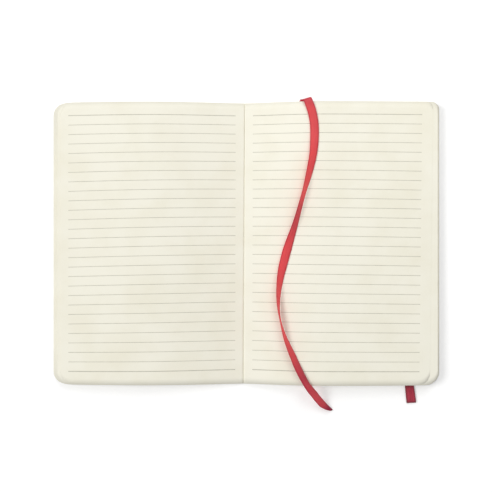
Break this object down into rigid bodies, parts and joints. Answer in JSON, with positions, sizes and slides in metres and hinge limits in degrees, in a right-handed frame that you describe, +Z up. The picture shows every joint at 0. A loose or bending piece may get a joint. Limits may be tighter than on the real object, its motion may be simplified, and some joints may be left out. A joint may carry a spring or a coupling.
{
  "type": "ruled notebook",
  "caption": "Soft-cover ruled notebook lying open, with fanned cream leaves, hinged covers, a ribbon marker and an elastic closure band.",
  "frame": {"origin": "centre of the spine strip's underside below the gutter, on the table", "axes": "+X towards the right page's fore-edge, +Y towards the head, +Z up out of the open pages"},
  "size_m": [0.2888, 0.2359, 0.0163],
  "materials": {
    "leaves": "matt cream writing paper",
    "gauze": "open gauze set in glue",
    "cover_sheet": "off-white imitation leather, fine grain, satin",
    "endpaper": "matt cream paper",
    "elastic": "dark red woven elastic",
    "satin": "red satin ribbon, soft sheen"
  },
  "bodies": {
    "book_block": {"pages": "leaves", "spine_lining": "gauze", "spine_strip": "cover_sheet", "ribbon_marker": "satin"},
    "front": {"front_cover": "cover_sheet", "front_endpaper": "endpaper"},
    "back": {"back_cover": "cover_sheet", "back_endpaper": "endpaper", "elastic_band": "elastic"}
  },
  "joints": [
    {"name": "front_cover_hinge", "type": "hinge", "parent": "book_block", "child": "front", "pos_m": [-0.0028, 0, 0], "axis": [0, -1, 0], "range_deg": [0, 90]},
    {"name": "back_cover_hinge", "type": "hinge", "parent": "book_block", "child": "back", "pos_m": [0.006, 0, 0], "axis": [0, 1, 0], "range_deg": [0, 90]}
  ]
}
